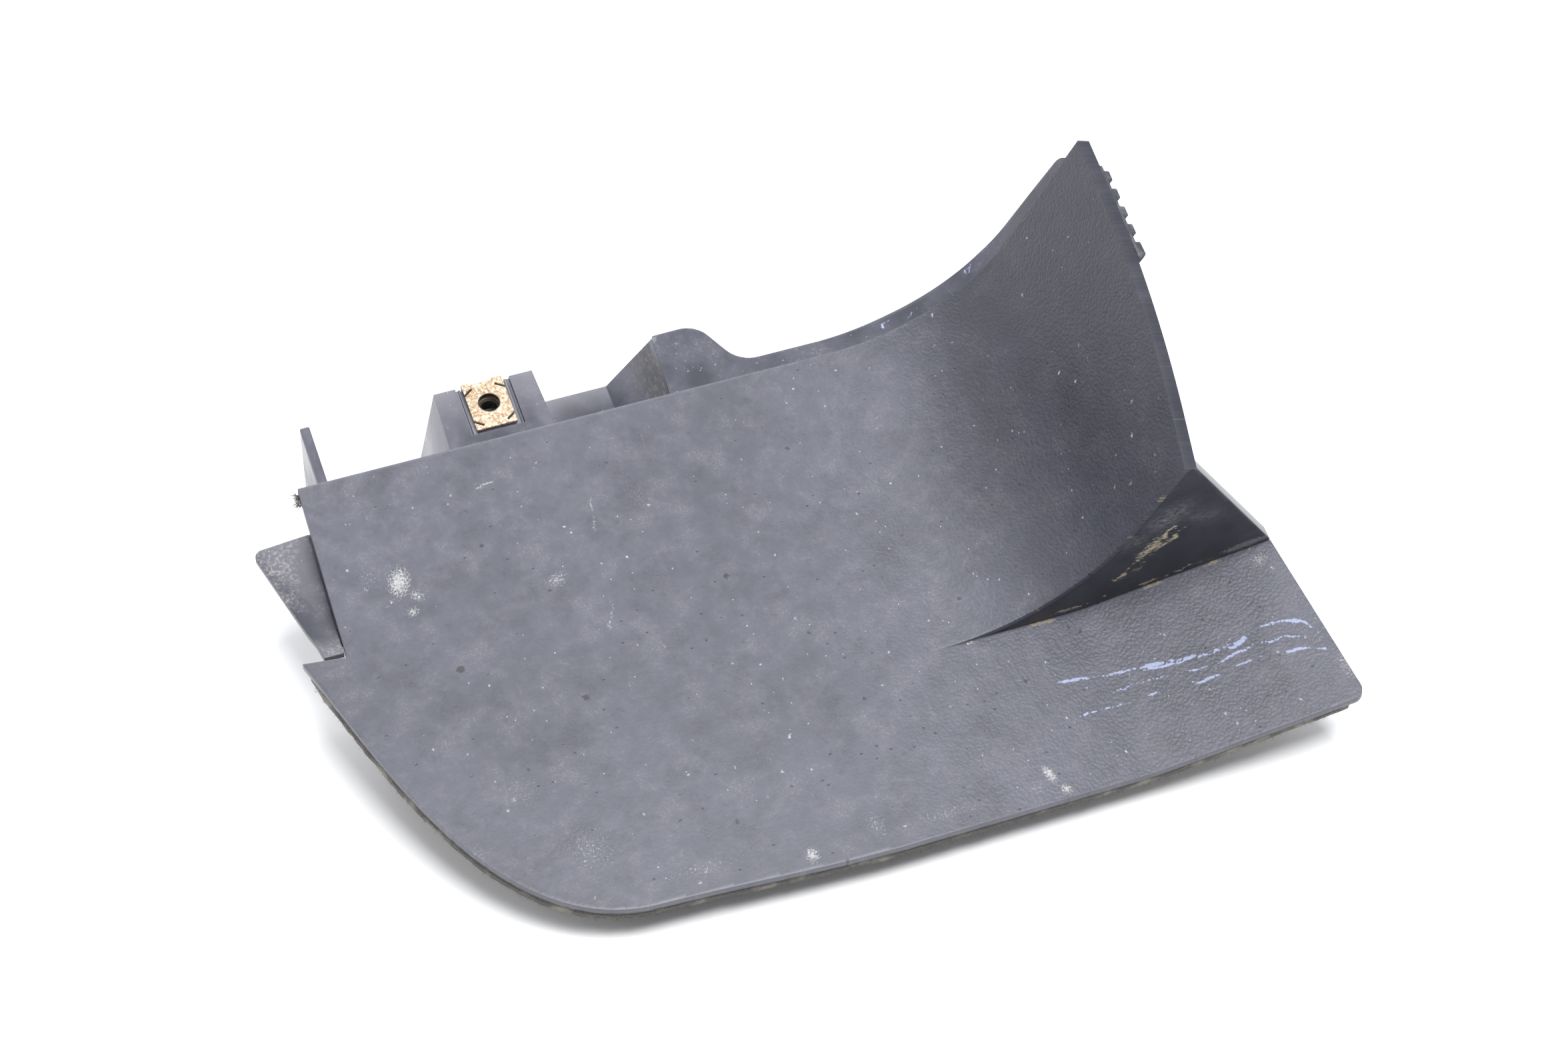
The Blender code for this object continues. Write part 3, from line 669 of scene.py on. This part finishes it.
def zinc_steel():
    """Dull zinc plate, mottled with orange and brown rust."""
    m = Nodes("zinc_steel_rusty")
    place = m.place()
    cloudy = m.noise(place, 0.28, 6, 0.7)
    blotch = m.noise(place, 0.9, 6, 0.75, 0.4)
    fine = m.noise(place, 4.0, 4, 0.7)
    colour = m.mix(m.ramp(blotch, 0.35, 0.62), grey(0.66, 0.61, 0.50), grey(0.50, 0.39, 0.25))
    orange = m.math("MULTIPLY", m.ramp(blotch, 0.46, 0.60), m.ramp(cloudy, 0.36, 0.52))
    colour = m.mix(m.math("MULTIPLY", orange, 0.8), colour, grey(0.40, 0.18, 0.06))
    brown = m.math("MULTIPLY", m.ramp(fine, 0.50, 0.62), m.ramp(blotch, 0.42, 0.56))
    colour = m.mix(m.math("MULTIPLY", brown, 0.75), colour, grey(0.15, 0.065, 0.025))
    eaten = m.math("MAXIMUM", orange, brown)
    # Painted shade in the nut's hole, near black round the screw's axis
    colour = m.mix(m.math("MULTIPLY", m.bore(place, 3.3, 3.7), 0.96), colour,
                   grey(0.006, 0.005, 0.004))
    height = m.math("ADD", m.math("MULTIPLY", fine, 0.5), m.math("MULTIPLY", eaten, 0.8))
    normal = m.bump(height, 0.00012, 0.6)
    metal = m.math("SUBTRACT", 0.35, m.math("MULTIPLY", eaten, 0.35), clamp=True)
    material = m.finish(colour, m.math("ADD", 0.42, m.math("MULTIPLY", eaten, 0.4)), normal)
    m.put(m.shader.inputs["Metallic"], metal)
    return material


def floor_material():
    m = Nodes("studio_floor")
    return m.finish(grey(0.93, 0.935, 0.945), 0.7)


# Pieces -------------------------------------------------------------------------------------

def foot_curve():
    corner = bezier(POINT, (-1.0, -98.0), (14.0, -164.5), (62.0, -165.0), 40)
    return corner + bezier((62.0, -165.0), (84.0, -165.8), (104.0, -168.4), (132.0, FOOT_Y), 14)[1:]


def slope_inset(y):
    """The swept edge's distance up the slope at the face's height y."""
    blend = 10.0
    line = SWEEP_RUN_LOW + (y - DART_Y) * (SWEEP_RUN - SWEEP_RUN_LOW) / (SWEEP_CORNER_Y - DART_Y)
    over = (line - SWEEP_RUN) / blend
    if over < -1:
        return line
    if over > 1:
        return SWEEP_RUN
    return SWEEP_RUN - blend * (1 - over) ** 2 / 4


def swept_edge_s(y):
    lean = 3.2
    return bend_x(y) + BEND_LENGTH + slope_inset(y + lean)


def face_outline():
    """The show face laid flat, with the dart's slit between the sweep and the wing."""
    points = [(0, 0), (-0.8, -30), (-1.6, -61)] + foot_curve() + [(WING_X, FOOT_Y)]
    points += filleted([(200, FOOT_Y, 0), (wing_s(WING_CORNER[0]), FOOT_Y - 0.4, 3.4),
                        (wing_s(WING_TOP_X), DART_Y - SLIT, 0)])[1:]
    points += [(WING_X, DART_Y - SLIT), (bend_x(DART_Y) - 1, DART_Y)]
    steps = 44
    for i in range(steps + 1):
        y = (DART_Y + SLIT) * (1 - i / steps)
        points.append((swept_edge_s(y), y))
    return points


def face_thickness(s, y):
    if y < DART_Y or s < bend_x(y) + BEND_LENGTH:
        return SKIN
    inset = swept_edge_s(y) - s
    return RIM - (RIM - SKIN) * min(max((inset - RIM_WIDTH) / 1.2, 0), 1)


def paint_face(item):
    """Dirt and wear on the show face, and painted light and shade on its sweep and wing, as kinds of marks
    over its flat shape.
    """
    marks = Marks(item, flat_spots(item))
    main = [(194, -132), (203, -133), (218, -135.4), (235, -138), (250, -139), (258, -137),
            (265, -137.6), (271, -140), (274, -146), (274.5, -150)]
    marks.line("stain", main, 0.5, 1.0, 0.09, 0.06)
    marks.line("stain", [(x, y - 0.8) for x, y in main[2:8]], 0.36, 0.9, 0.09, 0.1)
    lower = [(191, -149), (199, -145), (221, -145.4), (235, -147), (256, -146.4), (269, -149),
             (277, -153), (281, -158), (280, -162)]
    marks.line("stain", lower, 0.38, 0.9, 0.09, 0.1)
    marks.line("stain", [(200, -141), (222, -140.5), (240, -143), (256, -142), (268, -144),
                         (273, -148)], 0.32, 0.85, 0.09, 0.1)
    marks.line("stain", [(189, -160), (188, -153), (194, -148), (206, -145)], 0.5, 0.35, 0.12, 0.2)
    marks.line("dark", [(x, y - 1.2) for x, y in main], 0.7, 0.35, 0.1, 0.1)
    marks.line("dark", [(199, -123), (203, -130), (214, -133), (229, -133), (243, -134)], 0.7, 0.4,
               0.15, 0.1)
    marks.line("dust", [(84, -23), (80, -52), (75, -80)], 0.5, 0.7, 0.2, 0.1)
    marks.line("dust", [(75, -91), (74, -101)], 0.6, 0.65, 0.12, 0.1)
    marks.line("dust", [(60, -50), (66, -58)], 0.4, 0.45, 0.05, 0.1)
    marks.patch("dust", (20, -41), (5.0, 8.0), radians(-20), 0.82)
    marks.patch("dust", (24, -47), (3, 4), radians(30), 0.70)
    marks.patch("dust", (21, -52), (3, 3), 0, 0.72)
    marks.patch("dust", (12, -36), (7, 14), 0, 0.45)
    marks.patch("dust", (65, -54), (6, 4), radians(20), 0.62)
    marks.patch("dust", (98, -32), (9, 16), radians(20), 0.42)
    marks.patch("dust", (140, -96), (26, 22), radians(20), 0.34)
    marks.patch("dust", (182, -160), (2.2, 5.0), radians(15), 0.85)
    marks.patch("dust", (185, -166), (2.6, 3.0), radians(15), 0.80)
    marks.patch("dust", (177, -163), (4, 4), radians(15), 0.55)
    marks.patch("dust", (107, -163.5), (3, 4), 0, 0.8)
    marks.patch("dust", (128, -160), (5, 8), radians(10), 0.55)
    marks.patch("dust", (160, -150), (18, 9), radians(10), 0.40)
    marks.patch("dust", (47, -142), (17, 13), radians(-50), 0.5)
    marks.patch("dust", (75, -158), (22, 5), 0, 0.48)
    marks.patch("dust", (34, -118), (16, 12), radians(-50), 0.42)
    marks.patch("dust", (150, -163), (26, 4), 0, 0.48)
    marks.patch("dust", (105, -130), (14, 8), 0, 0.38)
    marks.patch("dust", (277, -158), (4, 9), radians(5), 0.6)
    marks.patch("dust", (268, -116), (6, 3.5), 0, 0.65)
    marks.line("worn", [(8, -0.7), (60, -0.6), (120, -0.7), (200, -0.7), (270, -0.7)], 0.6, 0.6)
    marks.line("worn", foot_curve()[::6], 0.6, 0.45)
    edge = [(swept_edge_s(y) - 0.4, y) for y in (-108, -90, -70, -50, -30, -2)]
    marks.line("worn", edge, 0.5, 0.6)
    for x, y, r in ((29, -75, 1.7), (61, -95, 1.4), (47, -36, 1.0), (114, -68, 1.3), (178, -97, 1.0),
                    (101, -87, 0.9), (139, -120, 1.0), (187, -129, 1.0), (155, -137, 0.8),
                    (62, -57, 0.9), (147, -30, 0.9), (209, -118, 1.0), (131, -94, 0.8),
                    (90, -147, 0.9), (38, -113, 0.9), (118, -142, 0.8)):
        marks.patch("dark", (x, y), (r, r), 0, 0.9, 4)
    marks.line("dark", [(44, -21), (47, -23), (46.5, -26), (48, -28)], 0.7, 0.7, 0.1)
    marks.line("dust", [(50, -16), (58, -15), (67, -13)], 0.5, 0.8, 0.1, 0.1)
    for x, y in ((181.5, -2.7), (185, -8.5), (222.7, -5), (196, -20), (240, -62), (213, -75),
                 (271, -70), (262, -40), (181, -136), (233, -30)):
        marks.patch("rust", (x, y), (0.8, 0.6), 0, 0.7)
    speck = marks.random
    for _ in range(SPECKS):
        x, y = speck.uniform(5, 285), speck.uniform(-165, -2)
        size = speck.uniform(0.3, 0.75)
        marks.patch("dust", (x, y), (size, size * speck.uniform(0.5, 1)), speck.uniform(0, 3), 0.9, 4)
    for x, y in ((206.5, -2.4), (203, -12.7), (238.9, -19.5), (252, -50), (244, -58), (262, -80),
                 (256, -88), (240, -95), (247, -99)):
        marks.patch("dust", (x, y), (1.1, 0.7), 0.6, 1.0)
    mud_line = [(184, DART_Y - 0.6), (205, DART_Y - 0.6), (228, DART_Y - 0.5), (262, DART_Y - 0.5)]
    marks.line("mud", mud_line, 0.75, 0.9, 0.05, 0.1)
    marks.line("dust", [(175, DART_Y - 0.6), (181, DART_Y - 0.4)], 0.5, 1.0)
    s, y = marks.spots[:, 0], marks.spots[:, 1]
    # Painted light and shade: the haze is full on the flat and the wing and thins over the sweep, which
    # turns away from the light
    lit = np.clip((SWEEP_X + 4 - s) / 40 + 0.9, 0.1, 1)
    lit[y < DART_Y] = 1.0
    marks.add("haze_and_painted_light", 0.75 * lit)
    # Painted shade over the sweep, growing past the bend
    sweep_shade = np.clip((s - SWEEP_X - 14) / 26, 0, 1)
    sweep_shade[y < DART_Y] = 0
    marks.add("sweep_shade", sweep_shade)
    rubbed = np.clip(1 - (s - 130) / 60, 0, 1) * 0.85
    on_wing = (y < DART_Y) & (s > 190)
    rubbed[on_wing] = 0.1
    marks.add("smooth", rubbed)
    marks.store({"marks_a": ("stain", "dust", "dark"), "marks_b": ("mud", "rust", "worn"),
                 "marks_c": ("haze_and_painted_light", "smooth", "sweep_shade")})


def make_face(material):
    face = sheet("show_face", face_outline(), face_point, face_thickness, 1.05, material,
                 [(187, -164, 283, -128), (70, -104, 88, -18)])
    soften(face, 0.45)
    paint_face(face)
    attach(face, "root")
    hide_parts("face_skin")


def dart_outline():
    """The dart wall in x and z: below the sweep, above the wing, up to its slanting edge."""
    root = bend_x(DART_Y)
    top_s = swept_edge_s(DART_Y)
    under = []
    for i in range(33):
        s = top_s + (root + 9 - top_s) * i / 32
        p = face_point(s, DART_Y + SLIT, SKIN * 0.6)
        under.append((p.x, p.z))
    foot = [(186, -1.0), (WING_X + WING_R * tan(WING_ANGLE / 2), -1.0)]
    tip_z = (WING_TOP_X - WING_X - WING_R * tan(WING_ANGLE / 2)) * tan(WING_ANGLE)
    end = face_point(top_s, DART_Y + SLIT, RIM)
    return under + foot + [(WING_TOP_X - 0.2, tip_z - 1.2), (WING_TOP_X - 0.2, tip_z + 0.6),
                           (end.x, end.z)]


def make_dart(material):
    wall = sheet("dart_wall", dart_outline(), lambda x, z, depth: Vector((x, DART_Y + depth, z)),
                 lambda x, z: WALL, 1.1, material)
    soften(wall, 0.5)
    marks = Marks(wall, flat_spots(wall))
    marks.line("mud", [(224, 11.5), (228, 16), (233.5, 24), (238, 30), (242.4, 36)], 1.5, 0.8, 0.5, 0.2)
    marks.line("mud", [(221, 15), (227, 22), (233, 31), (238, 40)], 0.8, 0.75, 0.4, 0.2)
    marks.line("mud", [(219, 13), (226, 15), (231, 19)], 1.1, 0.7, 0.3, 0.1)
    marks.line("mud", [(230, 30), (238, 34), (247, 43)], 0.8, 0.62, 0.4, 0.1)
    marks.patch("mud", (231, 27), (10, 4.5), radians(56), 0.62)
    marks.line("mud", [(200, 1.5), (213.4, 3.2), (230, 5.4), (262, 11.3)], 0.7, 0.75, 0.15, 0.1)
    marks.patch("stain", (234, 42), (7.5, 5), radians(45), 0.9)
    marks.patch("stain", (246, 37), (8, 4), radians(-20), 0.45)
    marks.patch("stain", (225, 33), (5, 4), radians(45), 0.5)
    marks.patch("dust", (264, 12.5), (11, 2.6), radians(10), 1.0, 3)
    marks.patch("dust", (248, 9.5), (12, 1.5), radians(10), 0.6, 3)
    marks.store({"marks_a": ("stain", "dust", "dark"), "marks_b": ("mud", "rust", "worn")})
    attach(wall, "root")


def make_flange(material):
    """The smooth step behind the face's top edge, ending in the hump."""
    end = SWEEP_X + BEND_LENGTH + FLANGE_RUN
    outline = filleted([(119.5, -4, 0), (119.5, 0, 0), (120.9, 24.5, 0.8), (135.5, 24.7, 9),
                        (144.5, 7.3, 10), (171, 7.3, 0), (192.5, 7.9, 0), (228, 7.6, 0),
                        (256, 6.3, 0), (end, 5.0, 7), (end, -4, 0)])
    low = SKIN + 0.05

    def point(s, y, depth):
        return sweep_point(s, y, low + depth)

    flange = sheet("top_flange_smooth", outline, point, lambda s, y: 2.6, 1.1, material)
    soften(flange, 0.4)
    marks = Marks(flange, flat_spots(flange))
    for s, y, radius in ((192, 4.7, 1.5), (199, 5.2, 1.7), (222, 6.0, 1.4), (126, 19, 1.6)):
        ring = [(s + radius * cos(a), y + radius * 0.8 * sin(a)) for a in np.linspace(0, 6.3, 12)]
        marks.line("stain", ring, 0.42, 0.95, 0.03)
    marks.line("stain", [(124, 9), (128, 8.5), (133, 9.5), (137, 8), (141, 8.4)], 0.45, 0.9, 0.25)
    marks.line("stain", [(126, 6), (130, 7), (136, 6)], 0.35, 0.85, 0.2)
    marks.line("dark", [(122.5, 4), (127, 5.5), (134, 4.6), (143, 3.8)], 0.7, 0.8, 0.25)
    marks.line("stain", [(150, 4.4), (158, 3.8), (168, 4.2)], 0.35, 0.8, 0.15)
    # Painted shade: a dark line along the foot of the step behind the face's top edge
    marks.line("dark", [(122, 0.6), (150, 0.6), (190, 0.6), (230, 0.6), (262, 0.6)], 0.6, 0.9, 0.05)
    marks.patch("dust", (128, 12), (7, 8), 0, 0.3)
    marks.patch("dust", (205, 4), (28, 4), 0, 0.4)
    marks.store({"marks_a": ("stain", "dust", "dark")})
    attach(flange, "root")
    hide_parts("top_flange")


def make_liner(material):
    """The felt behind the foot: a lumpy sheet whose edges are frayed."""
    edge = [(x - 0.3, y - 0.2) for x, y in foot_curve()[3:]]
    outline = [(11, -62), (POINT[0] + 1.4, -62)] + edge + [
        (200, FOOT_Y - 0.2), (273, FOOT_Y - 0.2), (276.6, -165), (272, -113), (158, -113),
        (158, -28), (11, -28)]

    def point(s, y, depth):
        lump = noise.noise(Vector((s * 0.35, y * 0.35, depth))) * 0.35
        fray = noise.noise(Vector((s * 1.1, y * 1.1, 9 + depth))) * 0.5
        p = wing_point(s, y, SKIN + 0.06 + depth + (lump if depth else 0))
        return p + Vector((fray * 0.6, fray * 0.8, 0))

    liner = sheet("felt_liner_frayed", outline, point, lambda s, y: FELT_LOW + 0.2, 1.8, material)
    soften(liner, 0.5, 50, 1)
    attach(liner, "root")
    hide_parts("felt_liner")


def make_fibres(material):
    """Loose fibres that stand out of the felt's edge and the torn tuft at the top left corner."""
    random = np.random.default_rng(11)
    work = bmesh.new()
    back = foot_curve()[2:] + [(x, FOOT_Y) for x in range(140, 276, 4)]
    path = smooth_line(back, 0.5)

    def fibre(start, heading, length, width):
        points = [Vector(start)]
        for _ in range(4):
            heading = (heading + Vector(random.normal(0, 0.45, 3))).normalized()
            points.append(points[-1] + heading * length / 4)
        rings = []
        for i, p in enumerate(points):
            size = width * (1 - 0.7 * i / 4)
            side = heading.orthogonal().normalized()
            other = heading.cross(side)
            rings.append([work.verts.new(REST @ (p + (side * cos(a) + other * sin(a)) * size))
                          for a in (0, 2 * pi / 3, 4 * pi / 3)])
        for low, high in zip(rings, rings[1:]):
            for k in range(3):
                work.faces.new((low[k], low[(k + 1) % 3], high[(k + 1) % 3], high[k]))
        work.faces.new(rings[0][::-1])
        work.faces.new(rings[-1])

    for _ in range(EDGE_FIBRES):
        i = int(random.integers(0, len(path) - 2))
        x, y = path[i]
        ahead = path[i + 1] - path[i]
        outward = Vector((ahead[1], -ahead[0], 0)).normalized()
        z = wing_point(x, y, 0).z - SKIN - random.uniform(0.2, 2.6)
        start = Vector((x, y, z)) - outward * 0.6
        heading = (outward + Vector((0, 0, random.normal(-0.1, 0.5)))).normalized()
        fibre(start, heading, random.uniform(0.8, 2.4), random.uniform(0.05, 0.11))
    for _ in range(TUFT_FIBRES):
        start = Vector((random.uniform(-0.6, 0.8), random.uniform(-4.5, -0.4), random.uniform(-3.4, -2.2)))
        fibre(start, Vector((-1, random.normal(0, 0.4), random.normal(0.3, 0.4))).normalized(),
              random.uniform(1.2, 3.2), random.uniform(0.10, 0.22))
    mesh = bpy.data.meshes.new("felt_fibres")
    bmesh.ops.recalc_face_normals(work, faces=work.faces)
    work.to_mesh(mesh)
    work.free()
    mesh.shade_smooth()
    item = new_object("felt_fibres", mesh, material)
    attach(item, "root")


def close_ramp(p):
    """The ramp's top edge carried on to meet the hump's slanting side."""
    reach = 0.6 + 1.4 * max(p.y, 0) / 24.5
    return p + Vector((reach, 0, 0.12)) if p.x > 119 else p


# Studio -------------------------------------------------------------------------------------

def area_light(name, place, target, size, power, colour=(1, 1, 1)):
    data = bpy.data.lights.new(name, "AREA")
    data.shape = "RECTANGLE"
    data.size, data.size_y = size
    data.energy = power
    data.color = colour
    item = bpy.data.objects.new(name, data)
    bpy.context.scene.collection.objects.link(item)
    item.location = place
    item.rotation_euler = (Vector(target) - Vector(place)).to_track_quat("-Z", "Y").to_euler()
    return item


def make_studio():
    work = bmesh.new()
    profile = [(-6, 0)] + [(1.5 + 0.9 * sin(a), 0.9 * (1 - cos(a)))
                             for a in (i * pi / 32 for i in range(17))] + [(2.4, 2.4)]
    left = [work.verts.new((-6, y, z)) for y, z in profile]
    right = [work.verts.new((6, y, z)) for y, z in profile]
    for i in range(len(profile) - 1):
        work.faces.new((left[i], right[i], right[i + 1], left[i + 1]))
    mesh = bpy.data.meshes.new("studio_floor")
    work.to_mesh(mesh)
    work.free()
    mesh.shade_smooth()
    floor = new_object("studio_floor", mesh, floor_material())
    world = bpy.data.worlds.new("studio")
    bpy.context.scene.world = world
    world.use_nodes = True
    background = world.node_tree.nodes["Background"]
    background.inputs["Color"].default_value = (0.96, 0.97, 1.0, 1)
    background.inputs["Strength"].default_value = 0.42
    area_light("left", (-1.3, 0.35, 1.0), (0, 0, 0.02), (0.9, 0.9), 5)
    area_light("back", (0.0, 1.4, 1.2), (0, 0, 0.05), (1.6, 0.6), 22)
    area_light("overhead", (0.15, -0.6, 1.95), (0, 0, 0.03), (1.0, 0.9), 52)
    view = bpy.context.scene.view_settings
    view.view_transform = "Standard"
    view.look = "None"


def make_camera():
    """The photograph's view, worked out in the face's frame."""
    eye = REST @ Vector((-95.8, -546.5, 854.4))
    turn = REST.to_3x3().normalized()
    ahead = (turn @ Vector((0.2298, 0.4852, -0.8437))).normalized()
    right = (turn @ Vector((0.9403, -0.3342, 0.0639))).normalized()
    up = right.cross(ahead).normalized()
    data = bpy.data.cameras.new("photo_view")
    data.sensor_width = SENSOR_WIDTH
    data.lens = LENS
    data.clip_end = 20
    camera = bpy.data.objects.new("photo_view", data)
    bpy.context.scene.collection.objects.link(camera)
    place = Matrix((right, up, -ahead)).transposed().to_4x4()
    place.translation = eye
    camera.matrix_world = place
    bpy.context.scene.camera = camera


grained = grained_plastic()
smooth = smooth_plastic("smooth_plastic_satin", marked=True)
back_plastic = smooth_plastic("smooth_plastic_back", 0.28, 0.25)
dusty_plastic = smooth_plastic("smooth_plastic_dusty", 0.40, 0.6, 0.09)
felt_cloth = felt()

make_face(grained)
make_dart(dart_plastic())
make_flange(smooth)
make_liner(felt_cloth)
make_fibres(felt_cloth)
for node, width in (("ledge_and_ramp", 0.35), ("ledge_web", 0.25), ("outer_wall", 0.35),
                    ("back_rib_1", 0.3), ("back_rib_2", 0.3), ("back_rib_3", 0.3),
                    ("back_rib_4", 0.3), ("clip_tower", 0.45), ("locating_tongue", 0.5)):
    move = close_ramp if node == "ledge_and_ramp" else None
    softened_node(node, node + "_soft", back_plastic, width, move)
softened_node("side_tab", "side_tab_soft", dusty_plastic, 0.35)
softened_node("spring_nut", "spring_nut_pressed", zinc_steel(), 0.12)
softened_node("edge_pad", "edge_pad_moulded", rubber(), 0.35)
make_studio()
make_camera()
